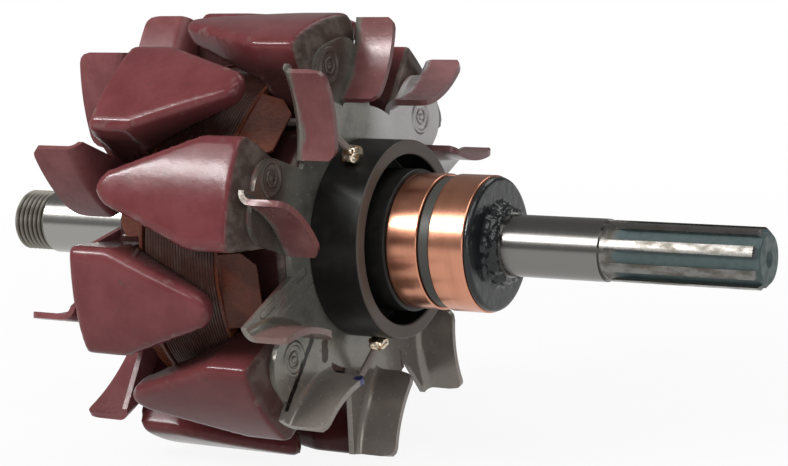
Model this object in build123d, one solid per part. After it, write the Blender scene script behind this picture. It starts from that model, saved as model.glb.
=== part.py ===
from build123d import *
import math
import os

os.makedirs("parts", exist_ok=True)

# Claw-pole alternator rotor, in millimetres.
# X runs along the shaft from the threaded drive end to the splined rear end, Z is up.
# The origin is on the shaft axis, in the middle of the drive-end bearing.

# Fits shared by all the pieces
bore_gap = 0.05
cut_overrun = 2.0

# Shaft
bearing_width = 14.0
seat_radius = 8.5
seat_outboard_length = 24.93
thread_core_radius = 7.1
thread_length = 11.2
thread_end_chamfer = 1.0
collar_radius = 12.5
collar_length = 3.85
body_radius = 10.0
ring_seat_radius = 8.0
journal_radius = 7.5
journal_length = 25.4
relief_length = 1.4
relief_depth = 0.6
spline_length = 38.1
spline_drop = 0.25
spline_depth = 1.25
spline_teeth = 8
spline_land_angle = 20.0
spline_turn = 23.5
spline_runout_length = 5.0
spline_end_chamfer = 1.5
centre_hole_radius = 1.0
centre_hole_depth = 5.0
centre_cone_radius = 2.1

# Pole wheels
claw_count = 6
claw_radius = 56.0
stack_length = 48.85
yoke_thickness = 13.0
claw_length = 40.8
claw_root_half_width = 14.8
claw_tip_half_width = 4.5
claw_tip_thickness = 5.0
claw_root_thickness = 12.4
claw_tip_corner = 2.2
claw_edge_bevel = 1.2
claw_flank_angle = 15.0
claw_bevel_angle = 45.0
back_bevel_length = 1.8
back_bevel_drop = 5.2
slip_ring_wheel_turn = 9.3

# Field coil, counted inwards from the underside of the claws
coil_claw_gap = 0.8
winding_drop = 0.6
coil_build = 15.7
valley_drop = 9.0
sleeve_thickness = 1.2
washer_thickness = 1.0
petal_length = 8.5
petal_lean = 3.4
petal_flank_gap = 1.3
petal_corner = 3.5

# Fans
plate_thickness = 1.5
blade_inset = 1.2
blade_bend = 2.0
blade_sweep = 15.0
blade_outer_corner = 2.4
blade_inner_corner = 2.8
slip_ring_blade_inner_radius = 36.0
slip_ring_blade_height = 10.6
slip_ring_blade_bow = 2.2
drive_blade_inner_radius = 33.0
drive_blade_height = 12.2
drive_blade_bow = -1.5
plate_ring_drop = 3.0
leaf_root = 2.0
leaf_lead_angle = 10.0
lobe_inset = 5.5
lobe_half_width = 10.5
lobe_corner = 7.5
slip_ring_blade_turns = (-3.5, 34.5, 71.5, 105.5, 136.0, 173.5, 214.0, 249.5, 285.5, 317.0)
drive_blade_turns = (-4.5, 27.5, 59.5, 103.5, 141.5, 177.5, 213.5, 248.5, 284.5, 320.5)

# Slip rings and their moulding
cup_radius = 24.7
cup_length = 13.5
cup_wall = 3.6
cup_recess_depth = 9.0
ring_radius = 16.75
ring_thickness = 2.4
ring_width = 8.36
ring_width_outer = 9.43
ring_groove_width = 3.08
ring_groove_depth = 0.6
ring_start_gap = 3.1
hub_shoulder_step = 0.85
cap_radius_drop = 0.35
cap_disc_length = 1.5
cap_bevel = 0.9
cap_collar_radius = 9.4
cap_collar_length = 3.5
cap_collar_bevel = 0.7

# Coil leads and their lugs on the cup
terminal_foot_height = 4.0
terminal_length = 4.5
terminal_height = 2.6
terminal_angle = 11.0
lead_radius = 1.0
lead_sides = 8
lead_bend = 2.4
lead_valley_gap = 0.6
lead_rise = 1.0
lead_hole_gap = 0.6
lead_flank_gap = 2.0

# Places along the shaft
shoulder_x = bearing_width / 2
seat_end_x = -bearing_width / 2 - seat_outboard_length
thread_end_x = seat_end_x - thread_length
drive_plate_x = shoulder_x + collar_length
drive_back_x = drive_plate_x + plate_thickness
rear_back_x = drive_back_x + stack_length
rear_plate_x = rear_back_x + plate_thickness
cup_end_x = rear_plate_x + cup_length
inner_ring_x = cup_end_x + ring_start_gap
inner_ring_end_x = inner_ring_x + ring_width
outer_ring_x = inner_ring_end_x + ring_groove_width
outer_ring_end_x = outer_ring_x + ring_width_outer
cap_disc_end_x = outer_ring_end_x + cap_disc_length
cap_end_x = cap_disc_end_x + cap_collar_length
journal_end_x = cap_end_x + journal_length
spline_x = journal_end_x + relief_length
shaft_end_x = spline_x + spline_length
coil_x = drive_back_x + yoke_thickness
coil_end_x = rear_back_x - yoke_thickness
lug_x = rear_plate_x + terminal_foot_height
pole_pitch = 360 / claw_count

# Radii that follow from the sizes above
spline_radius = journal_radius - spline_drop
washer_radius = claw_radius - claw_root_thickness - coil_claw_gap
winding_radius = washer_radius - winding_drop
core_radius = washer_radius - coil_build
valley_radius = washer_radius - valley_drop
petal_tip_radius = washer_radius - petal_lean
blade_outer_radius = claw_radius - blade_inset
lobe_radius = claw_radius - lobe_inset
ring_bed_radius = ring_radius - ring_thickness
hub_shoulder_radius = ring_radius + hub_shoulder_step
cap_radius = ring_radius - cap_radius_drop
lug_foot_radius = cup_radius + bore_gap
lead_place_radius = valley_radius + lead_valley_gap + lead_radius


def spun(points):
    # Turned piece: (x, radius) points revolved about the shaft axis.
    return revolve(make_face(Polyline(*points, close=True)), Axis.X)


def tube(x0, x1, inner, outer):
    return spun([(x0, inner), (x1, inner), (x1, outer), (x0, outer)])


def turned(shape, degrees):
    # Angles go from straight up towards -Y.
    return Rot(X=degrees) * shape


def slope(degrees):
    return math.tan(math.radians(degrees))


def flank_angle(radius):
    # Half the angle that a claw arm takes up at a radius.
    half_width = claw_root_half_width - (claw_radius - radius) * slope(claw_flank_angle)
    return math.degrees(math.atan(half_width / radius))


def shaft():
    bar = spun([
        (thread_end_x, 0),
        (thread_end_x, thread_core_radius - thread_end_chamfer),
        (thread_end_x + thread_end_chamfer, thread_core_radius),
        (seat_end_x, thread_core_radius),
        (seat_end_x, seat_radius),
        (shoulder_x, seat_radius),
        (shoulder_x, collar_radius),
        (drive_plate_x, collar_radius),
        (drive_plate_x, body_radius),
        (rear_plate_x, body_radius),
        (rear_plate_x, ring_seat_radius),
        (cap_end_x, ring_seat_radius),
        (cap_end_x, journal_radius),
        (journal_end_x, journal_radius),
        (journal_end_x, journal_radius - relief_depth),
        (spline_x, journal_radius - relief_depth),
        (spline_x, spline_radius),
        (shaft_end_x - spline_end_chamfer, spline_radius),
        (shaft_end_x, spline_radius - spline_end_chamfer),
        (shaft_end_x, 0),
    ])
    # Grooves between the spline teeth, rising to the surface at the inner end.
    pitch = 360 / spline_teeth
    half = math.radians((pitch - spline_land_angle) / 2)
    wide = spline_radius * math.sin(half)
    floor = spline_radius - spline_depth
    top = spline_radius + cut_overrun
    past_end = shaft_end_x + cut_overrun
    profile = make_face(Polyline(
        (spline_x, spline_radius),
        (spline_x, top),
        (past_end, top),
        (past_end, floor),
        (spline_x + spline_runout_length, floor),
        close=True,
    ))
    groove = extrude(Plane.XZ * profile, wide, both=True)
    for tooth in range(spline_teeth):
        bar -= turned(groove, -spline_turn + (tooth + 1 / 2) * pitch)
    hole = spun([
        (shaft_end_x + cut_overrun, 0),
        (shaft_end_x + cut_overrun, centre_cone_radius),
        (shaft_end_x, centre_cone_radius),
        (shaft_end_x - centre_cone_radius + centre_hole_radius, centre_hole_radius),
        (shaft_end_x - centre_hole_depth, centre_hole_radius),
        (shaft_end_x - centre_hole_depth, 0),
    ])
    return bar - hole


def tapered(half_outline, depth, angle):
    # Wedge under an outline at the claw radius, its sides drawn in towards the shaft by an angle.
    far_side = [(x, -y) for x, y in reversed(half_outline)]
    planform = make_face(Polyline(*half_outline, *far_side, close=True))
    return extrude(Pos(Z=claw_radius) * planform, depth, dir=(0, 0, -1), taper=angle)


def pole_wheel():
    # Forged wheel with its back face at x = 0 and its claws pointing to +X.
    bore = body_radius + bore_gap
    rim = [
        (0, bore),
        (0, claw_radius - back_bevel_drop),
        (back_bevel_length, claw_radius),
    ]
    yoke = spun([*rim, (yoke_thickness, claw_radius), (yoke_thickness, bore)])
    ring = spun([
        *rim,
        (claw_length, claw_radius),
        (claw_length, claw_radius - claw_tip_thickness),
        (yoke_thickness, claw_radius - claw_root_thickness),
        (yoke_thickness, bore),
    ])
    limb = tapered(
        [
            (-claw_root_thickness, claw_root_half_width),
            (yoke_thickness, claw_root_half_width),
            (claw_length - claw_tip_corner, claw_tip_half_width),
            (claw_length, claw_tip_half_width - claw_tip_corner),
        ],
        claw_root_thickness + cut_overrun,
        claw_flank_angle,
    )
    arm = tapered(
        [
            (-claw_radius, claw_root_half_width),
            (claw_radius, claw_root_half_width),
        ],
        claw_radius - core_radius,
        claw_flank_angle,
    )
    claw = (yoke & arm) + (ring & limb)
    claw &= edge_bevels()
    wheel = tube(0, yoke_thickness, bore, valley_radius)
    wheel += tube(yoke_thickness, stack_length / 2, bore, core_radius)
    for number in range(claw_count):
        wheel += turned(claw, number * pole_pitch)
    return wheel


def edge_bevels():
    # Wedge that widens inwards and breaks the edges round the outside of a claw.
    def inset(half_width):
        drop = claw_radius - math.sqrt(claw_radius ** 2 - half_width ** 2)
        return half_width - claw_edge_bevel - drop * (slope(claw_flank_angle) + slope(claw_bevel_angle))

    root = inset(claw_root_half_width)
    tip = inset(claw_tip_half_width)
    return tapered(
        [
            (-claw_radius, root),
            (yoke_thickness, root),
            (claw_length - claw_tip_corner - claw_edge_bevel, tip),
            (claw_length - claw_edge_bevel, tip - claw_tip_corner),
        ],
        claw_radius - core_radius,
        -claw_bevel_angle,
    )


def fan(blade_turns, lobe_turns, blade_inner_radius, blade_height, blade_bow):
    # Pressed fan with its wheel side at x = 0 and its blades standing out to +X.
    plate_ring_radius = blade_inner_radius - plate_ring_drop
    leaf_root_radius = plate_ring_radius - leaf_root
    flat = Plane.YZ * (Circle(plate_ring_radius) - Circle(body_radius + bore_gap))
    plate = extrude(flat, plate_thickness)
    tab = make_face(Polyline(
        (-lobe_half_width, leaf_root_radius),
        (-lobe_half_width, lobe_radius),
        (lobe_half_width, lobe_radius),
        (lobe_half_width, leaf_root_radius),
        close=True,
    ))
    lobe = Plane.YZ * fillet(tab.vertices().group_by(Axis.Y)[-1], lobe_corner)
    for turn in lobe_turns:
        plate += turned(extrude(lobe, plate_thickness), turn)
    for turn in blade_turns:
        plate += turned(blade(blade_inner_radius, blade_height, blade_bow, leaf_root_radius), turn)
    return plate


def arch(x, top, corner):
    # Rounded top corner of a side view at x, ahead of x for a negative corner, in three flats.
    steps = [math.radians(a) for a in (0, 30, 60, 90)]
    if corner < 0:
        steps = steps[::-1]
    size = abs(corner)
    return [(x - corner + corner * math.cos(a), top - size + size * math.sin(a)) for a in steps]


def place(radius, degrees):
    # A point in the fan's plane: Y, Z from a radius and an angle from straight up.
    angle = math.radians(degrees)
    return (-radius * math.sin(angle), radius * math.cos(angle))


def blade(inner_radius, height, bow, leaf_root_radius):
    # One bowed blade with rounded corners, bent up from the leaf of plate that carries it.
    outer = Vector(*place(blade_outer_radius, 0))
    inner = Vector(*place(inner_radius, blade_sweep))
    chord = outer - inner
    side = Vector(-chord.Y, chord.X).normalized()
    middle = (outer + inner) / 2 - side * bow
    spine = ThreePointArc(outer, middle, inner)
    centre = spine.arc_center
    leaf_side = math.copysign(1, bow)
    foot = spine.radius + leaf_side * (plate_thickness / 2 + blade_bend)

    # Section of the sheet: out from the centre of the bow, and up from the back of the plate.
    front = spine.radius + leaf_side * plate_thickness / 2
    rear = spine.radius - leaf_side * plate_thickness / 2
    bend_top = plate_thickness + blade_bend
    top = plate_thickness + height
    section = make_face([
        Polyline((front, bend_top), (front, top), (rear, top), (rear, bend_top)),
        TangentArc((rear, bend_top), (foot, 0), tangent=(0, -1)),
        Line((foot, 0), (foot, plate_thickness)),
        TangentArc((front, bend_top), (foot, plate_thickness), tangent=(0, -1)),
    ])
    way_in, way_out = inner - centre, outer - centre
    swing = math.degrees(math.atan2(way_out.cross(way_in).Z, way_out.dot(way_in)))
    start = way_out if swing > 0 else way_in
    upright = Plane(
        Vector(0, centre.X, centre.Y),
        x_dir=Vector(0, start.X, start.Y),
        z_dir=Vector(0, start.Y, -start.X),
    )
    wall = revolve(upright * section, Axis(upright.origin, (1, 0, 0)), abs(swing))

    # Side view of the blade along its chord, from the inner end.
    long = chord.length
    shape = [
        (-plate_thickness, 0),
        (long + plate_thickness, 0),
        *arch(long, top, blade_outer_corner),
        *arch(0, top, -blade_inner_corner),
    ]
    out = Vector(0, chord.X, chord.Y)
    view = Plane(Vector(0, inner.X, inner.Y), x_dir=out, z_dir=out.cross(Vector(1, 0, 0)))
    wall &= extrude(view * make_face(Polyline(*shape, close=True)), long, both=True)

    # The leaf ends where the bend starts.
    bend_line = [centre + (p - centre).normalized() * foot for p in (outer, middle, inner)]
    leaf = make_face([
        ThreePointArc(*bend_line),
        Polyline(
            bend_line[-1],
            place(leaf_root_radius, blade_sweep),
            place(leaf_root_radius, -leaf_lead_angle),
            bend_line[0],
        ),
    ])
    return wall + extrude(Plane.YZ * leaf, plate_thickness)


def carrier():
    bore = ring_seat_radius + bore_gap
    bed = ring_bed_radius
    web = ring_radius - ring_groove_depth
    recess = cup_end_x - cup_recess_depth
    inside = cup_radius - cup_wall
    return spun([
        (rear_plate_x, bore),
        (rear_plate_x, cup_radius),
        (cup_end_x, cup_radius),
        (cup_end_x, inside),
        (recess, inside),
        (recess, hub_shoulder_radius),
        (inner_ring_x, hub_shoulder_radius),
        (inner_ring_x, bed),
        (inner_ring_end_x, bed),
        (inner_ring_end_x, web),
        (outer_ring_x, web),
        (outer_ring_x, bed),
        (outer_ring_end_x, bed),
        (outer_ring_end_x, bore),
    ])


def end_cap():
    bore = ring_seat_radius + bore_gap
    return spun([
        (outer_ring_end_x, bore),
        (outer_ring_end_x, cap_radius),
        (cap_disc_end_x - cap_bevel, cap_radius),
        (cap_disc_end_x, cap_radius - cap_bevel),
        (cap_disc_end_x, cap_collar_radius),
        (cap_end_x - cap_collar_bevel, cap_collar_radius),
        (cap_end_x, cap_collar_radius - cap_collar_bevel),
        (cap_end_x, bore),
    ])


def insulation_washer():
    # Varnished washer with petals turned out between the claws, seat face at x = 0.
    ring = tube(0, washer_thickness, core_radius + bore_gap, washer_radius)

    # The petals fill the valley between two claw flanks at their tips, less a gap on each side.
    free_angle = pole_pitch / 2 - flank_angle(petal_tip_radius)
    half_width = petal_tip_radius * slope(free_angle) - petal_flank_gap
    long = math.hypot(petal_length, petal_lean)
    outline = make_face(Polyline(
        (0, -half_width),
        (long - petal_corner, -half_width),
        (long, -half_width + petal_corner),
        (long, half_width - petal_corner),
        (long - petal_corner, half_width),
        (0, half_width),
        close=True,
    ))
    high = math.sqrt(washer_radius ** 2 - half_width ** 2)
    lie = Plane((0, 0, high), x_dir=(-petal_length, 0, -petal_lean), z_dir=(-petal_lean, 0, petal_length))
    petal = extrude(lie * outline, -washer_thickness)
    foot = Pos(washer_thickness / 2, 0, high - washer_thickness) * Box(
        washer_thickness, 2 * half_width, 2 * washer_thickness)
    for number in range(claw_count):
        ring += turned(petal + foot, (number + 1 / 2) * pole_pitch)
    return ring


def terminal():
    # Lug on the side of the cup, standing straight up.
    profile = make_face(Polyline(
        (lug_x, lug_foot_radius),
        (lug_x + terminal_length, lug_foot_radius),
        (lug_x + terminal_length, lug_foot_radius + terminal_height),
        (lug_x, lug_foot_radius + terminal_height),
        close=True,
    ))
    return turned(revolve(Plane.XZ * profile, Axis.X, terminal_angle), -terminal_angle / 2)


def lead():
    # Coil lead: out of the washer, along a valley of the wheel and across to its lug.
    path = FilletPolyline(
        (coil_end_x, 0, lead_place_radius),
        (rear_plate_x + lead_rise, 0, lead_place_radius),
        (lug_x + terminal_length / 2, 0, lug_foot_radius + terminal_height / 2),
        radius=lead_bend,
    )
    section = RegularPolygon(lead_radius, lead_sides)
    return sweep(Plane(path @ 0, z_dir=path % 0) * section, path) - terminal()


def save(shape, name):
    export_step(shape, "parts/" + name + ".step")


drive_wheel_turn = slip_ring_wheel_turn + pole_pitch / 2
wheel = pole_wheel()
claw_turns = [n * pole_pitch for n in range(claw_count)]

save(shaft(), "shaft")
save(Pos(X=drive_back_x) * turned(wheel, drive_wheel_turn), "drive_end_pole_wheel")
save(Pos(X=rear_back_x) * turned(Rot(Z=180) * wheel, slip_ring_wheel_turn),
     "slip_ring_end_pole_wheel")

winding_x = coil_x + washer_thickness
winding_end_x = coil_end_x - washer_thickness
sleeve_inner = core_radius + bore_gap
sleeve_outer = sleeve_inner + sleeve_thickness
washer = insulation_washer()
save(tube(winding_x, winding_end_x, sleeve_inner, sleeve_outer), "bobbin_sleeve")
save(tube(winding_x, winding_end_x, sleeve_outer, winding_radius), "field_winding")
save(Pos(X=coil_x) * turned(washer, drive_wheel_turn), "drive_end_insulation_washer")
save(Pos(X=coil_end_x) * turned(Rot(Z=180) * washer, slip_ring_wheel_turn),
     "slip_ring_end_insulation_washer")

# Each lead runs up a valley of the wheel, close beside the flank of a claw.
lead_offset = flank_angle(lead_place_radius)
lead_offset += math.degrees((lead_radius + lead_flank_gap) / lead_place_radius)
positive_lead_turn = slip_ring_wheel_turn + lead_offset
negative_lead_turn = slip_ring_wheel_turn + 180 - lead_offset

rear_fan = fan(
    slip_ring_blade_turns,
    [slip_ring_wheel_turn + t for t in claw_turns],
    slip_ring_blade_inner_radius,
    slip_ring_blade_height,
    slip_ring_blade_bow,
)
for turn in (positive_lead_turn, negative_lead_turn):
    hole = Plane.YZ * Pos(0, lead_place_radius) * Circle(lead_radius + lead_hole_gap)
    rear_fan -= turned(extrude(hole, plate_thickness, both=True), turn)
save(Pos(X=rear_back_x) * rear_fan, "slip_ring_end_fan")
drive_fan = fan(
    drive_blade_turns,
    [drive_wheel_turn + t for t in claw_turns],
    drive_blade_inner_radius,
    drive_blade_height,
    drive_blade_bow,
)
save(Pos(X=drive_back_x) * mirror(drive_fan, Plane.YZ), "drive_end_fan")

save(carrier(), "slip_ring_carrier")
save(tube(inner_ring_x, inner_ring_end_x, ring_bed_radius, ring_radius), "inner_slip_ring")
save(tube(outer_ring_x, outer_ring_end_x, ring_bed_radius, ring_radius), "outer_slip_ring")
save(end_cap(), "slip_ring_end_cap")

for name, turn in (("positive", positive_lead_turn), ("negative", negative_lead_turn)):
    save(turned(terminal(), turn), name + "_terminal")
    save(turned(lead(), turn), name + "_lead")
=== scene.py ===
import math

import bmesh
import bpy
import numpy
from mathutils import Matrix, Vector, noise


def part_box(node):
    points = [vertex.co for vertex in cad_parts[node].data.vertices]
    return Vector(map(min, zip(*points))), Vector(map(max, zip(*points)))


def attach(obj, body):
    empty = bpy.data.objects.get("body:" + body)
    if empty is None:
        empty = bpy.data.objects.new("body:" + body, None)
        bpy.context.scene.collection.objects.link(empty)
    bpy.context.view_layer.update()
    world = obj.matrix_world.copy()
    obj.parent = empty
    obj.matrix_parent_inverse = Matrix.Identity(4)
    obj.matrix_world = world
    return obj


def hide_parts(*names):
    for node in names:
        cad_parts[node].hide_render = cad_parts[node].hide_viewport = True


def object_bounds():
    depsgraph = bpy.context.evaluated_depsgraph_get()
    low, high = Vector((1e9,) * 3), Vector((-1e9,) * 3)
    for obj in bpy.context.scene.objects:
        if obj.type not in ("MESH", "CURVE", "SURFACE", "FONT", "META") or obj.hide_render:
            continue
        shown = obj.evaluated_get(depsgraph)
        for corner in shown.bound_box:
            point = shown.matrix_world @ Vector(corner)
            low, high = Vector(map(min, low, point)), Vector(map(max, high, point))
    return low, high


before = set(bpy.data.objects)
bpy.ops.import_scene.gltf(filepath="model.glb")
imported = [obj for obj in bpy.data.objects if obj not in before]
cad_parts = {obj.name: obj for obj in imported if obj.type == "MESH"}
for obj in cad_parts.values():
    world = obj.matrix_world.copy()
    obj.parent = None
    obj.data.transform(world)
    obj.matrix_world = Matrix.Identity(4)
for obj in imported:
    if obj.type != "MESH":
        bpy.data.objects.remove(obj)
cad_low, cad_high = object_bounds()


# Shaft: one turned steel bar. The bearing seats are ground bright, the thread for the pulley nut
# is coloured dark towards the roots of its turns and left rougher, and eight grooves are milled into the
# rear end for the hub of a pump.

MM = 0.001


def set_input(tree, socket, value):
    # Fill one input with another node's output, a number, or a colour without its alpha.
    if isinstance(value, bpy.types.NodeSocket):
        tree.links.new(value, socket)
    elif isinstance(value, tuple) and socket.type == "RGBA":
        socket.default_value = (*value, 1.0)
    else:
        socket.default_value = value


def put(tree, kind, *ordered, **named):
    # One node: plain inputs in order, capital names for inputs, small names for settings.
    made = tree.nodes.new(kind)
    for name, value in named.items():
        if name[0].islower():
            setattr(made, name, value)
    for name, value in named.items():
        if name[0].isupper():
            set_input(tree, made.inputs[name.replace("_", " ")], value)
    for number, value in enumerate(ordered):
        set_input(tree, made.inputs[number], value)
    return made


def sums(tree, operation, *values):
    return put(tree, "ShaderNodeMath", *values, operation=operation).outputs[0]


def rising(tree, value, low, high):
    # 0 below low, 1 above high, smooth between; falls instead where low is the larger.
    made = put(tree, "ShaderNodeMapRange", interpolation_type="SMOOTHSTEP", Value=value)
    set_input(tree, made.inputs["From Min"], low)
    set_input(tree, made.inputs["From Max"], high)
    return made.outputs[0]


def over(tree, share, below, above):
    # Lay one colour over another by a mask.
    made = tree.nodes.new("ShaderNodeMix")
    made.data_type = "RGBA"
    for number, value in ((0, share), (6, below), (7, above)):
        set_input(tree, made.inputs[number], value)
    return made.outputs[2]


def cloud(tree, grain_mm, detail=4.0, stretch=(1.0, 1.0, 1.0)):
    # Soft random pattern with lumps of about one size in millimetres.
    where = put(tree, "ShaderNodeTexCoord").outputs["Object"]
    laid = put(tree, "ShaderNodeMapping", where, Scale=stretch).outputs[0]
    return put(tree, "ShaderNodeTexNoise", Vector=laid, Scale=1 / (grain_mm * MM),
               Detail=detail, Roughness=0.6).outputs[0]


def finish(name, **plain):
    # A new material, with the inputs that stay the same all over set on its shader.
    made = bpy.data.materials.new(name)
    made.use_nodes = True
    shader = made.node_tree.nodes["Principled BSDF"]
    for socket, value in plain.items():
        set_input(made.node_tree, shader.inputs[socket.replace("_", " ")], value)
    return made, made.node_tree, shader


def bumps(tree, shader, height, depth_mm, strength=1.0):
    made = put(tree, "ShaderNodeBump", Strength=strength, Distance=depth_mm * MM, Height=height)
    tree.links.new(made.outputs[0], shader.inputs["Normal"])


def rotor_place_group():
    # Where a point is on the rotor, in millimetres along the shaft and out from it.
    group = bpy.data.node_groups.new("rotor_place", "ShaderNodeTree")
    for name in ("Along", "Radius"):
        group.interface.new_socket(name, in_out="OUTPUT", socket_type="NodeSocketFloat")
    per_metre = 1 / MM
    where = put(group, "ShaderNodeTexCoord").outputs["Object"]
    along = put(group, "ShaderNodeSeparateXYZ", where).outputs[0]
    across = put(group, "ShaderNodeVectorMath", where, (0.0, per_metre, per_metre), operation="MULTIPLY")
    far = put(group, "ShaderNodeVectorMath", across.outputs[0], operation="LENGTH").outputs["Value"]
    put(group, "NodeGroupOutput", sums(group, "MULTIPLY", along, per_metre), far)
    return group


def edge_wear_group():
    # Rubbed edges: the rounded edge strips of a piece, broken up into patches.
    group = bpy.data.node_groups.new("edge_wear", "ShaderNodeTree")
    for name in ("Amount", "Patch"):
        group.interface.new_socket(name, in_out="INPUT", socket_type="NodeSocketFloat")
    group.interface.new_socket("Worn", in_out="OUTPUT", socket_type="NodeSocketFloat")
    given = group.nodes.new("NodeGroupInput").outputs
    edge = put(group, "ShaderNodeAttribute", attribute_name="edge").outputs["Fac"]
    where = put(group, "ShaderNodeTexCoord").outputs["Object"]
    fine = put(group, "ShaderNodeTexNoise", Vector=where, Scale=given["Patch"], Detail=6.0).outputs[0]
    left = sums(group, "SUBTRACT", 1.0, given["Amount"])
    worn = rising(group, fine, left, sums(group, "ADD", left, 0.12))
    put(group, "NodeGroupOutput", sums(group, "MULTIPLY", worn, edge))
    return group


rotor_place = rotor_place_group()
edge_wear = edge_wear_group()


def place_of(tree):
    return put(tree, "ShaderNodeGroup", node_tree=rotor_place).outputs


def worn_edges(tree, amount, patch_mm):
    return put(tree, "ShaderNodeGroup", node_tree=edge_wear, Amount=amount,
               Patch=1 / (patch_mm * MM)).outputs[0]


def piece(name, mesh, material, slot, *nodes):
    # Put a finished mesh in the scene on the rotor's one body, in place of the solids named.
    made = bpy.data.objects.new(name, mesh)
    bpy.context.scene.collection.objects.link(made)
    mesh.materials.clear()
    mesh.materials.append(material)
    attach(made, "root")
    if nodes:
        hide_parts(*nodes)
    return made


def smoothed(mesh, crease):
    mesh.polygons.foreach_set("use_smooth", [True] * len(mesh.polygons))
    mesh.set_sharp_from_angle(angle=math.radians(crease))
    return mesh


def plain_result(holder, name):
    # The mesh that an object's modifiers give. The object itself goes.
    graph = bpy.context.evaluated_depsgraph_get()
    result = bpy.data.meshes.new_from_object(holder.evaluated_get(graph))
    bpy.data.objects.remove(holder)
    result.name = name
    return result


def baked(mesh, name, *modifiers):
    # Run modifiers on a mesh and return the plain result.
    holder = bpy.data.objects.new(name, mesh)
    bpy.context.scene.collection.objects.link(holder)
    for kind, settings in modifiers:
        modifier = holder.modifiers.new(kind.title(), kind)
        for key, value in settings.items():
            setattr(modifier, key, value)
    return plain_result(holder, name)


def merged_copy(node):
    # Copy of a solid with its loose triangles joined into whole faces.
    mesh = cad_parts[node].data.copy()
    for layer in ("custom_normal", "sharp_face", "sharp_edge"):
        if layer in mesh.attributes:
            mesh.attributes.remove(mesh.attributes[layer])
    same_spot, same_plane = 0.002 * MM, math.radians(0.2)
    work = bmesh.new()
    work.from_mesh(mesh)
    bmesh.ops.remove_doubles(work, verts=work.verts, dist=same_spot)
    bmesh.ops.dissolve_limit(work, angle_limit=same_plane, verts=work.verts, edges=work.edges)
    for face in work.faces:
        face.material_index = 0
    work.to_mesh(mesh)
    work.free()
    mesh.materials.clear()
    return mesh


def rounded_copy(node, round_mm, steps, crease=32.0):
    # Copy of a solid with its edges rounded. The strips so made are marked for edge wear, and
    # are shaded apart so that long faces between them stay true.
    mesh = merged_copy(node)
    for _ in range(2):
        mesh.materials.append(None)
    mesh = baked(mesh, node, ("BEVEL", {
        "width": round_mm * MM, "segments": steps, "limit_method": "ANGLE",
        "angle_limit": math.radians(crease), "material": 1, "use_clamp_overlap": True}))
    strip = [False] * len(mesh.polygons)
    for face in mesh.polygons:
        strip[face.index] = face.material_index == 1
        face.material_index = 0
    layer = mesh.attributes.new("edge", "FLOAT", "CORNER")
    for face in mesh.polygons:
        for corner in face.loop_indices:
            layer.data[corner].value = float(strip[face.index])
    mesh = smoothed(mesh, crease + 8)
    sides = {}
    for face in mesh.polygons:
        for key in face.edge_keys:
            sides.setdefault(key, set()).add(strip[face.index])
    for line in mesh.edges:
        if len(sides[line.key]) == 2:
            line.use_edge_sharp = True
    return mesh


# The ground stretches carry fine rings from the wheel; oil and rust stain the spline.
def ground_steel():
    made, tree, shader = finish("shaft_steel")
    along, radius = place_of(tree)
    seat_end, journal_end, spline_start = -31.93, 130.6, 132.0
    seat_inner, seat_outer = 20.0, 0.0
    groove_mouth, groove_floor = 6.95, 6.5
    thread_foot, thread_crest = 7.25, 7.95
    end_face, end_rim = 6.7, 7.0
    thread = rising(tree, along, seat_end + 0.3, seat_end - 0.3)
    spline = rising(tree, along, journal_end - 0.2, spline_start)
    groove = sums(tree, "MULTIPLY", spline, rising(tree, radius, groove_mouth, groove_floor))
    stain = rising(tree, cloud(tree, 2.2, 4.0, (0.45, 1.0, 1.0)), 0.38, 0.66)
    stain_on_lands = sums(tree, "MULTIPLY", stain, spline)
    seat = rising(tree, along, seat_inner, seat_outer)
    bright = over(tree, seat, (0.205, 0.198, 0.187), (0.32, 0.31, 0.295))
    colour = over(tree, stain_on_lands, bright, (0.105, 0.096, 0.082))
    oily = over(tree, cloud(tree, 1.6), (0.030, 0.050, 0.052), (0.078, 0.108, 0.108))
    colour = over(tree, groove, colour, oily)
    # The thread is coloured near black down in the roots of its turns and steel grey on the crests.
    ridge = rising(tree, radius, thread_foot, thread_crest)
    ridge_colour = over(tree, ridge, (0.026, 0.024, 0.020), (0.27, 0.255, 0.22))
    off_end_face = rising(tree, radius, end_face, end_rim)
    colour = over(tree, sums(tree, "MULTIPLY", thread, off_end_face), colour, ridge_colour)
    tree.links.new(colour, shader.inputs["Base Color"])
    rings = cloud(tree, 0.12, 2.0, (1.0, 0.01, 0.01))
    rough = sums(tree, "ADD", 0.15, sums(tree, "MULTIPLY", rings, 0.14))
    rough = sums(tree, "ADD", rough, sums(tree, "MULTIPLY", stain_on_lands, 0.2))
    oily_rough = sums(tree, "MULTIPLY", sums(tree, "ADD", groove, thread), 0.18)
    tree.links.new(sums(tree, "ADD", rough, oily_rough), shader.inputs["Roughness"])
    oil_film = sums(tree, "MULTIPLY", groove, 0.75)
    tree.links.new(sums(tree, "SUBTRACT", 1.0, oil_film), shader.inputs["Metallic"])
    bumps(tree, shader, rings, 0.004, 0.5)
    return made


shaft_steel = ground_steel()
shaft_edge_round = 0.14
piece("turned_shaft", rounded_copy("shaft", shaft_edge_round, 2), shaft_steel, "shaft", "shaft")


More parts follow.
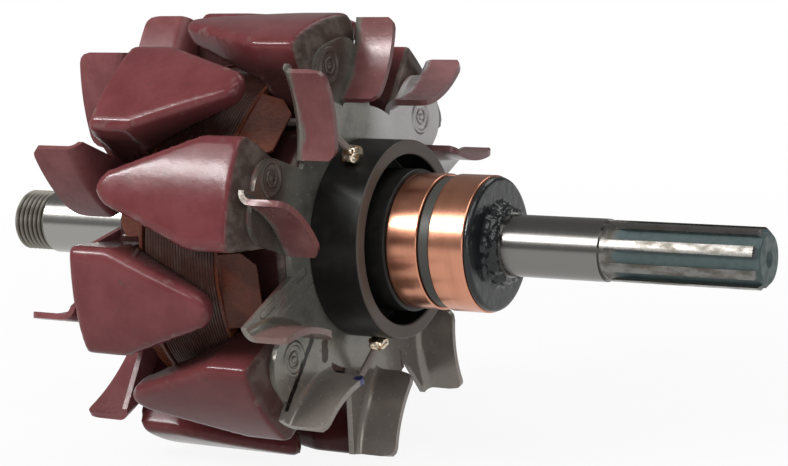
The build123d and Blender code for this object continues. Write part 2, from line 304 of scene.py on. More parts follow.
# Pulley thread: sixteen millimetres across with a pitch of one and a half, cut on the end of the
# shaft. The same tree of turns winds the field wire further on.
def turns_tree():
    tree = bpy.data.node_groups.new("turns_round_the_shaft", "GeometryNodeTree")
    for name in ("Turns", "Radius", "Length", "Start", "Section"):
        tree.interface.new_socket(name, in_out="INPUT", socket_type="NodeSocketFloat")
    tree.interface.new_socket("Section Sides", in_out="INPUT", socket_type="NodeSocketInt")
    tree.interface.new_socket("Steps", in_out="INPUT", socket_type="NodeSocketInt")
    tree.interface.new_socket("Finish", in_out="INPUT", socket_type="NodeSocketMaterial")
    tree.interface.new_socket("Geometry", in_out="OUTPUT", socket_type="NodeSocketGeometry")
    given = tree.nodes.new("NodeGroupInput").outputs
    helix = put(tree, "GeometryNodeCurveSpiral", Resolution=given["Steps"], Rotations=given["Turns"],
                Start_Radius=given["Radius"], End_Radius=given["Radius"], Height=given["Length"])
    upright = put(tree, "GeometryNodeSetCurveNormal", Curve=helix.outputs[0], mode="Z_UP")
    section = put(tree, "GeometryNodeCurvePrimitiveCircle", Resolution=given["Section Sides"],
                  Radius=given["Section"])
    wire = put(tree, "GeometryNodeCurveToMesh", Curve=upright.outputs[0],
               Profile_Curve=section.outputs[0], Fill_Caps=True)
    shift = put(tree, "ShaderNodeCombineXYZ", given["Start"])
    laid = put(tree, "GeometryNodeTransform", Geometry=wire.outputs[0], Translation=shift.outputs[0],
               Rotation=(0.0, math.pi / 2, 0.0))
    plain = put(tree, "GeometryNodeRealizeInstances", Geometry=laid.outputs[0])
    painted = put(tree, "GeometryNodeSetMaterial", Geometry=plain.outputs[0], Material=given["Finish"])
    put(tree, "NodeGroupOutput", painted.outputs[0])
    return tree


def grown(name, tree, start_mesh, **sizes):
    # Run a tree of geometry nodes with its named inputs set, and return the plain mesh.
    holder = bpy.data.objects.new(name, start_mesh)
    bpy.context.scene.collection.objects.link(holder)
    modifier = holder.modifiers.new("Grown", "NODES")
    modifier.node_group = tree
    for item in tree.interface.items_tree:
        key = item.name.replace(" ", "_")
        if item.in_out == "INPUT" and key in sizes:
            modifier[item.identifier] = sizes[key]
    return plain_result(holder, name)


shaft_turns = turns_tree()
thread_pitch = 1.5
thread_start = -42.1
thread_run = 9.6
ridge_radius, ridge_half = 7.26, 0.74
thread_mesh = grown(
    "pulley_thread", shaft_turns, bpy.data.meshes.new("pulley_thread"),
    Turns=thread_run / thread_pitch, Radius=ridge_radius * MM, Length=thread_run * MM,
    Start=thread_start * MM, Section=ridge_half * MM, Section_Sides=4, Steps=72, Finish=shaft_steel)
piece("pulley_thread", smoothed(thread_mesh, 40), shaft_steel, "shaft")


# Field coil: dark enamelled wire wound in even turns on an insulating sleeve and soaked in
# varnish. It shows only between the claws.
def wire_finish():
    made, tree, shader = finish("field_wire", Roughness=0.36, Specular_IOR_Level=0.3)
    dusty = rising(tree, cloud(tree, 2.4), 0.45, 0.70)
    colour = over(tree, cloud(tree, 1.1), (0.036, 0.013, 0.010), (0.070, 0.027, 0.019))
    colour = over(tree, sums(tree, "MULTIPLY", dusty, 0.6), colour, (0.080, 0.050, 0.040))
    tree.links.new(colour, shader.inputs["Base Color"])
    bumps(tree, shader, cloud(tree, 0.5), 0.03, 0.5)
    return made


field_wire = wire_finish()
coil_low, coil_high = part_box("field_winding")
wire_radius = 0.43 * MM
coil_radius = coil_high.z - wire_radius
coil_turns = 24.0
coil_length = coil_high.x - coil_low.x
coil_mesh = grown(
    "field_wire_turns", shaft_turns, bpy.data.meshes.new("field_wire_turns"), Turns=coil_turns,
    Radius=coil_radius, Length=coil_length - 2 * wire_radius, Start=coil_low.x + wire_radius,
    Section=wire_radius, Section_Sides=6, Steps=120, Finish=field_wire)
piece("field_wire_turns", smoothed(coil_mesh, 80), field_wire, "winding")


def lathe(name, profile, steps=160, crease=30.0, lumps=None):
    # Turn a closed (along, radius) outline in millimetres about the shaft axis.
    work = bmesh.new()
    rows = []
    for number in range(steps):
        angle = 2 * math.pi * number / steps
        row = []
        for along, radius in profile:
            spot = Vector((along, -radius * math.sin(angle), radius * math.cos(angle)))
            if lumps:
                spot = lumps(spot, along, radius)
            row.append(work.verts.new(spot * MM))
        rows.append(row)
    for number, row in enumerate(rows):
        nearby = rows[(number + 1) % steps]
        for a in range(len(profile)):
            b = (a + 1) % len(profile)
            work.faces.new((row[a], row[b], nearby[b], nearby[a]))
    bmesh.ops.recalc_face_normals(work, faces=work.faces)
    mesh = bpy.data.meshes.new(name)
    work.to_mesh(mesh)
    work.free()
    return smoothed(mesh, crease)


coil_bore, wire_sink = 28.4, 0.35
coil_start, coil_end = coil_low.x / MM, coil_high.x / MM
inner_wire = coil_radius / MM - wire_sink
coil_body = lathe("field_coil_body", [
    (coil_start, coil_bore), (coil_end, coil_bore), (coil_end, inner_wire), (coil_start, inner_wire)])
piece("field_coil_body", coil_body, field_wire, "winding", "field_winding")


# Insulation: a sleeve under the wire and a washer at each end of it, pressed from red-brown
# board, with petals turned out between the claw roots and dipped in varnish.
def varnished_board():
    made, tree, shader = finish("varnished_board", Specular_IOR_Level=0.2)
    fibre = cloud(tree, 0.7, 5.0, (0.5, 1.0, 1.0))
    colour = over(tree, fibre, (0.068, 0.018, 0.010), (0.122, 0.036, 0.020))
    pooled = rising(tree, cloud(tree, 5.0), 0.42, 0.66)
    colour = over(tree, sums(tree, "MULTIPLY", pooled, 0.6), colour, (0.060, 0.020, 0.015))
    tree.links.new(colour, shader.inputs["Base Color"])
    tree.links.new(sums(tree, "ADD", 0.18, sums(tree, "MULTIPLY", fibre, 0.2)), shader.inputs["Roughness"])
    bumps(tree, shader, fibre, 0.12, 0.6)
    return made


board = varnished_board()
board_edge_round = 0.3
for node in ("bobbin_sleeve", "drive_end_insulation_washer", "slip_ring_end_insulation_washer"):
    piece("varnished_" + node, rounded_copy(node, board_edge_round, 2), board, "insulation", node)


# Pole wheels: two steel forgings with six claws each, sprayed dark red once the rotor is put
# together. The backs of the claws stay darker, and handling has rubbed the paint off the edges.
def wheel_paint():
    made, tree, shader = finish("wheel_paint", Specular_IOR_Level=0.16)
    along, radius = place_of(tree)
    back_start, back_full = 59.0, 59.7
    skin_radius, deep_radius = 54.5, 46.5
    under_start, under_full = -4 * MM, -42 * MM
    rear_back = rising(tree, along, back_start, back_full)
    # Painted shade, with some dirt: the flanks and roots of the claws, below their outer skin, are darkened
    # almost to black.
    flank_shade_and_dirt = rising(tree, radius, skin_radius, deep_radius)
    fade = cloud(tree, 9.0, 5.0)
    colour = over(tree, rising(tree, fade, 0.35, 0.65), (0.108, 0.026, 0.029), (0.131, 0.035, 0.038))
    colour = over(tree, sums(tree, "MULTIPLY", flank_shade_and_dirt, 0.9), colour, (0.022, 0.010, 0.009))
    grimy = rising(tree, cloud(tree, 4.0, 6.0), 0.4, 0.62)
    dull = over(tree, grimy, (0.050, 0.036, 0.030), (0.100, 0.080, 0.068))
    colour = over(tree, sums(tree, "MULTIPLY", rear_back, 0.95), colour, dull)
    dirt = rising(tree, cloud(tree, 2.2, 7.0), 0.60, 0.72)
    colour = over(tree, sums(tree, "MULTIPLY", dirt, 0.4), colour, (0.055, 0.030, 0.026))
    # Painted shade: the paint is made darker towards the bottom of the rotor.
    where = put(tree, "ShaderNodeTexCoord").outputs["Object"]
    height = put(tree, "ShaderNodeSeparateXYZ", where).outputs[2]
    painted_under_shade = sums(tree, "MULTIPLY", rising(tree, height, under_start, under_full), 0.5)
    colour = over(tree, painted_under_shade, colour, (0.070, 0.014, 0.014))
    speckle = rising(tree, cloud(tree, 0.6, 3.0), 0.50, 0.68)
    colour = over(tree, sums(tree, "MULTIPLY", speckle, 0.22), colour, (0.085, 0.034, 0.032))
    chip = rising(tree, cloud(tree, 3.4, 3.0), 0.735, 0.76)
    colour = over(tree, chip, colour, (0.055, 0.060, 0.045))
    worn = worn_edges(tree, 0.44, 4.0)
    colour = over(tree, sums(tree, "MULTIPLY", worn, 0.55), colour, (0.150, 0.100, 0.086))
    tree.links.new(colour, shader.inputs["Base Color"])
    spray = cloud(tree, 0.45, 3.0)
    rough = sums(tree, "ADD", 0.09, sums(tree, "MULTIPLY", fade, 0.16))
    rough = sums(tree, "ADD", rough, sums(tree, "MULTIPLY", rear_back, 0.2))
    tree.links.new(rough, shader.inputs["Roughness"])
    runs = cloud(tree, 6.0, 2.0)
    ripple = sums(tree, "ADD", sums(tree, "MULTIPLY", spray, 0.3), runs)
    bumps(tree, shader, ripple, 0.12, 0.5)
    return made


def forged_copy(node, grain_mm, passes):
    # Copy of a solid with every edge drawn round as in a forging; the more a spot bulges, the
    # more it is marked for edge wear.
    mesh = baked(merged_copy(node), node,
                 ("REMESH", {"mode": "VOXEL", "voxel_size": grain_mm * MM}),
                 ("SMOOTH", {"factor": 0.5, "iterations": passes}))
    count = len(mesh.vertices)
    spots = numpy.empty(count * 3)
    facing = numpy.empty(count * 3)
    ends = numpy.empty(len(mesh.edges) * 2, dtype=int)
    mesh.vertices.foreach_get("co", spots)
    mesh.vertices.foreach_get("normal", facing)
    mesh.edges.foreach_get("vertices", ends)
    spots, facing, ends = spots.reshape(-1, 3), facing.reshape(-1, 3), ends.reshape(-1, 2)
    apart = spots[ends[:, 0]] - spots[ends[:, 1]]
    turn = ((facing[ends[:, 0]] - facing[ends[:, 1]]) * apart).sum(1) / (apart * apart).sum(1)
    bulge = numpy.zeros(count)
    met = numpy.zeros(count)
    for side in (0, 1):
        numpy.add.at(bulge, ends[:, side], turn)
        numpy.add.at(met, ends[:, side], 1)
    sharp_radius, flat_radius = 5.0 * MM, 14.0 * MM
    edge = (bulge / met - 1 / flat_radius) / (1 / sharp_radius - 1 / flat_radius)
    corners = numpy.empty(len(mesh.loops), dtype=int)
    mesh.loops.foreach_get("vertex_index", corners)
    layer = mesh.attributes.new("edge", "FLOAT", "CORNER")
    layer.data.foreach_set("value", numpy.clip(edge, 0, 1)[corners])
    return smoothed(mesh, 70)


red_paint = wheel_paint()
forging_grain, smoothing_passes = 0.8, 7
for node in ("drive_end_pole_wheel", "slip_ring_end_pole_wheel"):
    forging = forged_copy(node, forging_grain, smoothing_passes)
    piece("painted_" + node, forging, red_paint, "pole_paint", node)


# Fans: sheet steel, pressed so that each blade stands up from its own leaf. The drive-end fan is
# painted all over; the rear one is bare, with red overspray on its blades and bright edges.
# Slits, burns and pressed ribs of its plate are (Y, Z) strokes in millimetres.
plate_marks = (
    ((-25.6, -20.8), (-38.2, -34.6), 1.1, (0.012, 0.009, 0.008)),
    ((-19.9, -22.9), (-20.2, -26.5), 1.8, (0.032, 0.020, 0.012)))
ink_dab = Vector((72.7, -19.6, -31.3)) * MM
dab_edge, dab_core = 2.6 * MM, 1.8 * MM
rib_half_width = 1.3
pressed_ribs = (((-27.5, -3.7), (-46.2, -10.3)), ((-23.7, -6.1), (-39.0, -10.6)))


def streak(tree, start, end, half_width):
    # Soft-edged stroke across a fan plate from one (Y, Z) spot in millimetres to another.
    where = put(tree, "ShaderNodeTexCoord").outputs["Object"]
    first = Vector((0.0, *start)) * MM
    reach = Vector((0.0, *end)) * MM - first
    way = reach.normalized()
    from_start = put(tree, "ShaderNodeVectorMath", where, tuple(first), operation="SUBTRACT").outputs[0]
    dots = []
    for axis in (way, Vector((0.0, -way.z, way.y))):
        product = put(tree, "ShaderNodeVectorMath", from_start, tuple(axis), operation="DOT_PRODUCT")
        dots.append(product.outputs["Value"])
    half, soft = half_width * MM, 0.4 * half_width * MM
    ragged = sums(tree, "MULTIPLY", sums(tree, "SUBTRACT", cloud(tree, 1.5), 0.5), half)
    before = sums(tree, "MULTIPLY", dots[0], -1.0)
    after = sums(tree, "SUBTRACT", dots[0], reach.length)
    beyond = sums(tree, "MAXIMUM", sums(tree, "MAXIMUM", before, after), 0.0)
    squares = sums(tree, "ADD", sums(tree, "POWER", dots[1], 2.0), sums(tree, "POWER", beyond, 2.0))
    return rising(tree, sums(tree, "ADD", sums(tree, "SQRT", squares), ragged), half, half - soft)


def fan_finish(name, plate_x, sprayed_all):
    made, tree, shader = finish(name, Specular_IOR_Level=0.14 if sprayed_all else 0.3)
    along, radius = place_of(tree)
    off_plate = sums(tree, "ABSOLUTE", sums(tree, "SUBTRACT", along, plate_x))
    fade = rising(tree, cloud(tree, 7.0), 0.35, 0.65)
    red = over(tree, fade, (0.124, 0.038, 0.040), (0.158, 0.054, 0.056))
    bare = over(tree, cloud(tree, 1.2, 6.0), (0.155, 0.150, 0.127), (0.235, 0.228, 0.20))
    smudge = rising(tree, cloud(tree, 8.0, 6.0), 0.46, 0.70)
    bare = over(tree, sums(tree, "MULTIPLY", smudge, 0.65), bare, (0.090, 0.080, 0.068))
    rust = rising(tree, cloud(tree, 2.6, 7.0), 0.62, 0.72)
    bare = over(tree, sums(tree, "MULTIPLY", rust, 0.6), bare, (0.11, 0.052, 0.030))
    worn = worn_edges(tree, 0.62, 1.5)
    haze = cloud(tree, 1.4, 6.0)
    relief = haze
    if sprayed_all:
        cover = rising(tree, cloud(tree, 2.0, 6.0), 0.18, 0.28)
    else:
        where = put(tree, "ShaderNodeTexCoord").outputs["Object"]
        sideways, height = put(tree, "ShaderNodeSeparateXYZ", where).outputs[1:]
        on_plate = rising(tree, off_plate, 1.0, 0.3)
        # Painted reflection, with cleaner metal: the bare plate is made much lighter on its far upper side.
        far_side_sheen_and_clean = sums(tree, "MULTIPLY", rising(tree, sideways, 2 * MM, 16 * MM),
                        rising(tree, height, 4 * MM, 14 * MM))
        bare = over(tree, sums(tree, "MULTIPLY", far_side_sheen_and_clean, 0.85), bare, (0.52, 0.505, 0.50))
        # The bare plate is made darker part way out on its near upper side, and its bright edges are held
        # back there.
        near_side = sums(tree, "MULTIPLY", rising(tree, sideways, -1 * MM, -6 * MM),
                         rising(tree, height, 0.0, 9 * MM))
        near_dark = sums(tree, "MULTIPLY", near_side, rising(tree, radius, 36.0, 41.0))
        near_dark = sums(tree, "MULTIPLY", sums(tree, "MULTIPLY", near_dark, on_plate), 0.85)
        bare = over(tree, near_dark, bare, (0.085, 0.066, 0.056))
        worn = sums(tree, "MULTIPLY", worn, sums(tree, "SUBTRACT", 1.0, near_dark))
        # Painted light: the bare metal is made lighter on the lower blades and plate, which the lamps reach
        # less.
        low_side_painted_light = rising(tree, height, -18 * MM, -36 * MM)
        bare = over(tree, sums(tree, "MULTIPLY", low_side_painted_light, 0.5), bare, (0.35, 0.315, 0.285))
        for start, end, half_width, tint in plate_marks:
            mark = sums(tree, "MULTIPLY", streak(tree, start, end, half_width), on_plate)
            bare = over(tree, mark, bare, tint)
        for start, end in pressed_ribs:
            rib = sums(tree, "MULTIPLY", streak(tree, start, end, rib_half_width), on_plate)
            relief = sums(tree, "ADD", relief, sums(tree, "MULTIPLY", rib, 6.0))
        drift = sums(tree, "MULTIPLY", sums(tree, "SUBTRACT", cloud(tree, 6.0, 5.0), 0.5), 5.0)
        upper = rising(tree, height, -26 * MM, -6 * MM)
        reached = sums(tree, "ADD", 0.12, sums(tree, "MULTIPLY", upper, 0.80))
        sprayed = rising(tree, sums(tree, "ADD", off_plate, drift), 0.2, 2.6)
        cover = sums(tree, "MULTIPLY", sprayed, reached)
    cover = sums(tree, "MULTIPLY", cover, sums(tree, "SUBTRACT", 1.0, worn))
    colour = over(tree, cover, bare, red)
    if not sprayed_all:
        away = put(tree, "ShaderNodeVectorMath", where, tuple(ink_dab), operation="DISTANCE")
        inked = rising(tree, away.outputs["Value"], dab_edge, dab_core)
        colour = over(tree, inked, colour, (0.020, 0.026, 0.130))
    # Worn bare edges, partly a painted highlight along the sheet edges: they are laid on paler than the
    # bare metal.
    tree.links.new(over(tree, worn, colour, (0.36, 0.34, 0.32)), shader.inputs["Base Color"])
    bare_metal = sums(tree, "MULTIPLY", sums(tree, "SUBTRACT", 1.0, cover), 0.42)
    tree.links.new(bare_metal, shader.inputs["Metallic"])
    rough = sums(tree, "ADD", 0.12, sums(tree, "MULTIPLY", haze, 0.24))
    tree.links.new(rough, shader.inputs["Roughness"])
    bumps(tree, shader, relief, 0.10, 0.4)
    return made


rear_plate_x, drive_plate_x = 62.7, 10.85
sheet_edge_round = 0.3
rear_fan_metal = fan_finish("rear_fan_metal", rear_plate_x, False)
drive_fan_paint = fan_finish("drive_fan_paint", drive_plate_x, True)
rear_fan_mesh = rounded_copy("slip_ring_end_fan", sheet_edge_round, 2)
piece("pressed_rear_fan", rear_fan_mesh, rear_fan_metal, "rear_fan", "slip_ring_end_fan")
drive_fan_mesh = rounded_copy("drive_end_fan", sheet_edge_round, 2)
piece("pressed_drive_fan", drive_fan_mesh, drive_fan_paint, "drive_fan", "drive_end_fan")


# Spot welds: each lobe of a fan is welded to the back of a claw. The electrode leaves a wide
# shallow ring round a small dent with a raised lip.
def weld_tree():
    tree = bpy.data.node_groups.new("spot_welds", "GeometryNodeTree")
    tree.interface.new_socket("Geometry", in_out="INPUT", socket_type="NodeSocketGeometry")
    tree.interface.new_socket("Lip Radius", in_out="INPUT", socket_type="NodeSocketFloat")
    tree.interface.new_socket("Lip Thickness", in_out="INPUT", socket_type="NodeSocketFloat")
    tree.interface.new_socket("Finish", in_out="INPUT", socket_type="NodeSocketMaterial")
    tree.interface.new_socket("Geometry", in_out="OUTPUT", socket_type="NodeSocketGeometry")
    given = tree.nodes.new("NodeGroupInput").outputs
    lip = put(tree, "GeometryNodeCurvePrimitiveCircle", Resolution=36, Radius=given["Lip Radius"])
    section = put(tree, "GeometryNodeCurvePrimitiveCircle", Resolution=8, Radius=given["Lip Thickness"])
    ring = put(tree, "GeometryNodeCurveToMesh", Curve=lip.outputs[0], Profile_Curve=section.outputs[0])
    nugget = put(tree, "GeometryNodeMeshUVSphere", Segments=20, Rings=10, Radius=given["Lip Radius"])
    flat = put(tree, "GeometryNodeTransform", Geometry=nugget.outputs[0], Scale=(0.55, 0.55, 0.2))
    dish = put(tree, "GeometryNodeTransform", Geometry=ring.outputs[0], Scale=(2.1, 2.1, 0.8))
    mark = tree.nodes.new("GeometryNodeJoinGeometry")
    for part in (ring, flat, dish):
        tree.links.new(part.outputs[0], mark.inputs[0])
    spots = put(tree, "GeometryNodeInstanceOnPoints", Points=given["Geometry"], Instance=mark.outputs[0],
                Rotation=(0.0, math.pi / 2, 0.0))
    plain = put(tree, "GeometryNodeRealizeInstances", Geometry=spots.outputs[0])
    painted = put(tree, "GeometryNodeSetMaterial", Geometry=plain.outputs[0], Material=given["Finish"])
    put(tree, "NodeGroupOutput", painted.outputs[0])
    return tree


def ring_point(along, radius, degrees):
    angle = math.radians(degrees)
    return Vector((along, -radius * math.sin(angle), radius * math.cos(angle))) * MM


weld_marks = weld_tree()
lip_radius, lip_thickness = 1.9, 0.36
drive_weld_radius, drive_claw_turn, claw_pitch, claws = 45.0, 39.3, 60, 6
rear_welds = ((45.5, 14.0), (44.5, 62.0), (41.5, 125.0), (45.0, 187.0), (44.0, 246.0), (42.0, 308.5))
drive_welds = [(drive_weld_radius, drive_claw_turn + claw_pitch * n) for n in range(claws)]
for name, spots, along, material, slot in (
        ("rear_fan_welds", rear_welds, rear_plate_x, rear_fan_metal, "rear_fan"),
        ("drive_fan_welds", drive_welds, drive_plate_x, drive_fan_paint, "drive_fan")):
    marks = bpy.data.meshes.new(name)
    marks.from_pydata([ring_point(along, radius, turn) for radius, turn in spots], [], [])
    marks = grown(name, weld_marks, marks, Lip_Radius=lip_radius * MM,
                  Lip_Thickness=lip_thickness * MM, Finish=material)
    piece(name, smoothed(marks, 60), material, slot)


# Slip-ring carrier: a black moulded cup and hub pressed on the shaft, with a turned web between
# the two rings.
def black_moulding():
    made, tree, shader = finish("black_moulding", Specular_IOR_Level=0.25)
    along, radius = place_of(tree)
    speck = cloud(tree, 0.8, 5.0)
    colour = over(tree, speck, (0.005, 0.005, 0.0045), (0.010, 0.0098, 0.0085))
    dust = sums(tree, "MULTIPLY", rising(tree, cloud(tree, 5.0, 6.0), 0.50, 0.72), 0.25)
    colour = over(tree, dust, colour, (0.040, 0.032, 0.026))
    cup_mouth, cup_inside = (75.7, 76.1), (20.6, 21.3)
    web_front, web_back = (87.2, 87.6), (91.2, 90.8)
    # Painted light: the mouth of the cup is coloured lighter round its inner edge.
    painted_rim_light = sums(tree, "MULTIPLY", rising(tree, along, *cup_mouth), rising(tree, radius, *cup_inside))
    colour = over(tree, painted_rim_light, colour, (0.082, 0.064, 0.054))
    web = sums(tree, "MULTIPLY", rising(tree, along, *web_front), rising(tree, along, *web_back))
    tree.links.new(over(tree, web, colour, (0.055, 0.055, 0.050)), shader.inputs["Base Color"])
    tree.links.new(sums(tree, "ADD", 0.30, sums(tree, "MULTIPLY", speck, 0.25)), shader.inputs["Roughness"])
    bumps(tree, shader, cloud(tree, 0.35, 3.0), 0.05, 0.4)
    return made


moulding = black_moulding()
moulded_edge_round = 0.45
carrier_mesh = rounded_copy("slip_ring_carrier", moulded_edge_round, 3)
piece("moulded_carrier", carrier_mesh, moulding, "moulding", "slip_ring_carrier")


# Slip rings: two copper bands, turned true on the carrier. The brushes have polished them and
# drawn fine tracks round them.
def polished_copper():
    made, tree, shader = finish("polished_copper", Metallic=1.0)
    track = cloud(tree, 0.5, 4.0, (1.0, 0.006, 0.006))
    tarnish = rising(tree, cloud(tree, 6.0, 4.0, (1.6, 0.35, 0.35)), 0.45, 0.75)
    colour = over(tree, track, (0.56, 0.245, 0.155), (0.66, 0.315, 0.205))
    tree.links.new(over(tree, sums(tree, "MULTIPLY", tarnish, 0.4), colour, (0.40, 0.165, 0.10)),
                   shader.inputs["Base Color"])
    tree.links.new(sums(tree, "ADD", 0.17, sums(tree, "MULTIPLY", track, 0.14)), shader.inputs["Roughness"])
    bumps(tree, shader, track, 0.006, 0.6)
    return made


copper = polished_copper()
ring_edge_round = 0.3
for node in ("inner_slip_ring", "outer_slip_ring"):
    piece("polished_" + node, rounded_copy(node, ring_edge_round, 3), copper, "slip_ring", node)


# End cap: black potting resin that locks the rings on, turned flat on its rim and left as it
# set round the shaft, in glossy lumps.
def potting_resin():
    made, tree, shader = finish("potting_resin", Specular_IOR_Level=0.4)
    shade = cloud(tree, 2.5, 5.0)
    colour = over(tree, shade, (0.005, 0.006, 0.0065), (0.014, 0.0155, 0.017))
    tree.links.new(colour, shader.inputs["Base Color"])
    tree.links.new(sums(tree, "ADD", 0.08, sums(tree, "MULTIPLY", shade, 0.24)), shader.inputs["Roughness"])
    bumps(tree, shader, cloud(tree, 4.5, 3.0), 0.45, 0.6)
    return made


resin = potting_resin()
cap_low, cap_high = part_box("slip_ring_end_cap")
cap_start, cap_end = cap_low.x / MM, cap_high.x / MM
cap_bore, cap_rim = 8.05, 16.4
disc_edge, disc_face = cap_start + 1.45, cap_start + 1.5
lumps_from, lumps_to = 8.2, 10.5


def resin_lumps(spot, along, radius):
    # Only the collar round the shaft is lumpy.
    if along < disc_edge or radius < lumps_from:
        return spot
    lump = noise.noise(spot * 0.55) * 0.5 + noise.noise(spot * 1.2) * 0.3
    reach = 0.7 if radius < lumps_to else 0.04
    outward = Vector((0, spot.y, spot.z)).normalized()
    return spot + Vector((lump * reach, 0, 0)) + outward * lump * reach


collar_length, collar_foot, collar_step, collar_taper = 3.1, 9.9, 0.24, 0.06
face_inset, face_step = 0.9, 0.7
collar_start = cap_end - collar_length
collar_rows = [(collar_start + collar_step * n, collar_foot - collar_taper * n) for n in range(12)]
crown_rows = [(cap_end - 0.15, 9.0), (cap_end - 0.02, 8.7), (cap_end, 8.4)]
face_rows = [(disc_face, cap_rim - face_inset - face_step * n) for n in range(8)]
cap_outline = [
    (cap_start, cap_bore), (cap_start, 16.2), (cap_start + 0.2, cap_rim), (cap_start + 0.7, cap_rim),
    (cap_start + 1.2, 16.15), (disc_edge, 15.75), *face_rows, *collar_rows, *crown_rows,
    (cap_end, cap_bore)]
cap_mesh = lathe("potted_end_cap", cap_outline, 180, 45.0, resin_lumps)
piece("potted_end_cap", cap_mesh, resin, "end_cap", "slip_ring_end_cap")


# Coil leads and lugs: each end of the field wire comes up a valley of the wheel and is soldered
# to a lug on the side of the cup.
def solder_and_lead():
    solder, tree, shader = finish("soldered_lug", Metallic=1.0)
    flux = rising(tree, cloud(tree, 1.2, 4.0), 0.50, 0.62)
    tree.links.new(over(tree, flux, (0.66, 0.56, 0.44), (0.34, 0.20, 0.10)), shader.inputs["Base Color"])
    tree.links.new(sums(tree, "ADD", 0.18, sums(tree, "MULTIPLY", flux, 0.3)), shader.inputs["Roughness"])
    bumps(tree, shader, cloud(tree, 0.8, 3.0), 0.15, 0.5)
    lead, tree, shader = finish("lead_varnish", Roughness=0.34, Coat_Weight=0.3)
    tree.links.new(over(tree, cloud(tree, 1.5), (0.13, 0.105, 0.090), (0.25, 0.205, 0.185)),
                   shader.inputs["Base Color"])
    bumps(tree, shader, cloud(tree, 0.6), 0.05, 0.5)
    return solder, lead


soldered_lug, lead_varnish = solder_and_lead()


def solder_blob(node):
    # A lug with a drop of solder run over it.
    low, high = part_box(node)
    middle = (low + high) / 2
    half = (high - low) / 2
    squareness, swelling = 0.72, 0.16
    work = bmesh.new()
    bmesh.ops.create_icosphere(work, subdivisions=4, radius=1.0)
    for vert in work.verts:
        flat = Vector([math.copysign(abs(c) ** squareness, c) for c in vert.co])
        swell = 1.0 + swelling * noise.noise(flat * 1.9 + middle * 900)
        vert.co = middle + Vector([f * h for f, h in zip(flat * swell, half)])
    mesh = bpy.data.meshes.new(node)
    work.to_mesh(mesh)
    work.free()
    return smoothed(mesh, 60)


lead_edge_round, lead_crease = 0.25, 25.0
for node in ("positive_terminal", "negative_terminal"):
    piece("soldered_" + node, solder_blob(node), soldered_lug, "terminal", node)
for node in ("positive_lead", "negative_lead"):
    lead_mesh = rounded_copy(node, lead_edge_round, 2, lead_crease)
    piece("varnished_" + node, lead_mesh, lead_varnish, "lead", node)


# Floor and light: a pale table, a window-like lamp with a bright strip in it at the left, a large
# soft lamp above, and weaker ones behind and low by the camera. The table shows white and keeps
# a trace of shadow.
def pale_floor():
    made, tree, shader = finish("pale_floor", Roughness=0.9)
    grey = over(tree, cloud(tree, 90.0), (0.62, 0.62, 0.62), (0.66, 0.66, 0.66))
    tree.links.new(grey, shader.inputs["Base Color"])
    rays = put(tree, "ShaderNodeLightPath").outputs
    seen = sums(tree, "MAXIMUM", rays["Is Camera Ray"], rays["Is Glossy Ray"])
    seen = sums(tree, "MAXIMUM", seen, rays["Is Transmission Ray"])
    paper = put(tree, "ShaderNodeEmission", Color=(1.0, 1.0, 1.0), Strength=1.0)
    where = put(tree, "ShaderNodeTexCoord").outputs["Object"]
    far = put(tree, "ShaderNodeVectorMath", where, operation="LENGTH").outputs["Value"]
    near_share, shadow_end = 0.91, 0.5
    past_shadow = sums(tree, "MULTIPLY", rising(tree, far, 0.10, shadow_end), 1 - near_share)
    clear = sums(tree, "ADD", near_share, past_shadow)
    laid = put(tree, "ShaderNodeMixShader", sums(tree, "MULTIPLY", seen, clear), shader.outputs[0],
               paper.outputs[0])
    tree.links.new(laid.outputs[0], tree.nodes["Material Output"].inputs["Surface"])
    mesh = bpy.data.meshes.new("floor")
    wide = 4.0
    level = cad_low.z
    corners = [(-wide, -wide, level), (wide, -wide, level), (wide, wide, level), (-wide, wide, level)]
    mesh.from_pydata(corners, [], [(0, 1, 2, 3)])
    mesh.materials.append(made)
    floor = bpy.data.objects.new("floor", mesh)
    bpy.context.scene.collection.objects.link(floor)


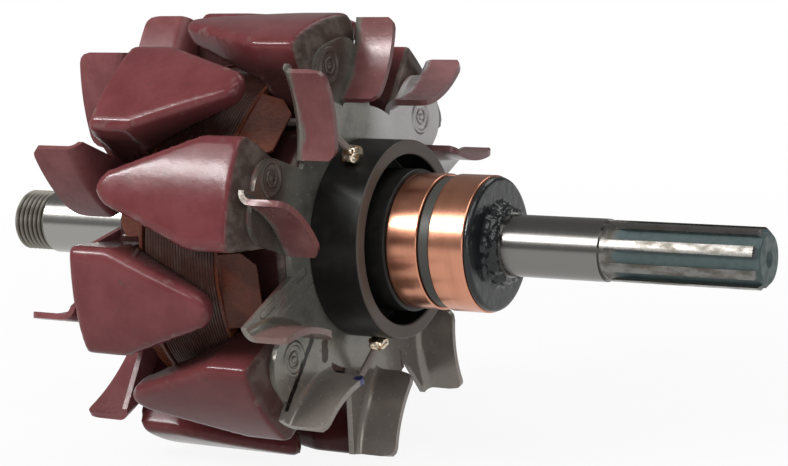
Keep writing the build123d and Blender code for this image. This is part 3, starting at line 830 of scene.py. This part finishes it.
def soft_lamp(name, azimuth, elevation, distance, size, power, aim):
    data = bpy.data.lights.new(name, "AREA")
    data.shape = "RECTANGLE"
    data.size, data.size_y = size
    data.energy = power
    lamp = bpy.data.objects.new(name, data)
    a, e = math.radians(azimuth), math.radians(elevation)
    away = Vector((math.sin(a) * math.cos(e), -math.cos(a) * math.cos(e), math.sin(e)))
    level = Vector((math.cos(a), math.sin(a), 0))
    turn = Matrix((level, away.cross(level), away)).transposed()
    lamp.matrix_world = Matrix.Translation(aim + away * distance) @ turn.to_4x4()
    bpy.context.scene.collection.objects.link(lamp)


pale_floor()
rotor_middle = Vector((0.072, 0, 0))
for name, azimuth, elevation, distance, size, power in (
        ("window_softbox", -38, 36.5, 1.3, (0.85, 0.46), 7.5),
        ("strip_softbox", -42, 33, 1.25, (0.55, 0.05), 9),
        ("top_softbox", 40, 62, 1.6, (1.2, 1.0), 11),
        ("back_softbox", 165, 48, 1.6, (1.0, 0.8), 5),
        ("low_softbox", 38, 8, 1.6, (0.6, 0.5), 3.2)):
    soft_lamp(name, azimuth, elevation, distance, size, power, rotor_middle)

world = bpy.data.worlds.new("studio")
world.use_nodes = True
ambient = world.node_tree.nodes["Background"].inputs
ambient["Color"].default_value = (1, 1, 1, 1)
ambient["Strength"].default_value = 0.25
bpy.context.scene.world = world
bpy.context.scene.view_settings.view_transform = "Standard"


# Camera: a long lens from in front of the rotor's rear end and a little above it, tilted a few
# degrees as the photograph is.
def photo_camera():
    width_px, focal_px, axis_drop_px = 788, 2200, 5.7
    aim, distance = Vector((0.07205, 0, 0)), 0.5462
    azimuth, elevation, roll = (math.radians(d) for d in (30.36, 10.13, -2.76))
    back = Vector((math.sin(azimuth) * math.cos(elevation), -math.cos(azimuth) * math.cos(elevation),
                   math.sin(elevation)))
    level_right = Vector((math.cos(azimuth), math.sin(azimuth), 0))
    level_up = back.cross(level_right)
    right = level_right * math.cos(roll) + level_up * math.sin(roll)
    up = back.cross(right)
    data = bpy.data.cameras.new("photo_camera")
    data.sensor_width = 36
    data.lens = data.sensor_width * focal_px / width_px
    data.shift_y = axis_drop_px / width_px
    camera = bpy.data.objects.new("photo_camera", data)
    turn = Matrix((right, up, back)).transposed()
    camera.matrix_world = Matrix.Translation(aim + back * distance) @ turn.to_4x4()
    bpy.context.scene.collection.objects.link(camera)
    bpy.context.scene.camera = camera


photo_camera()
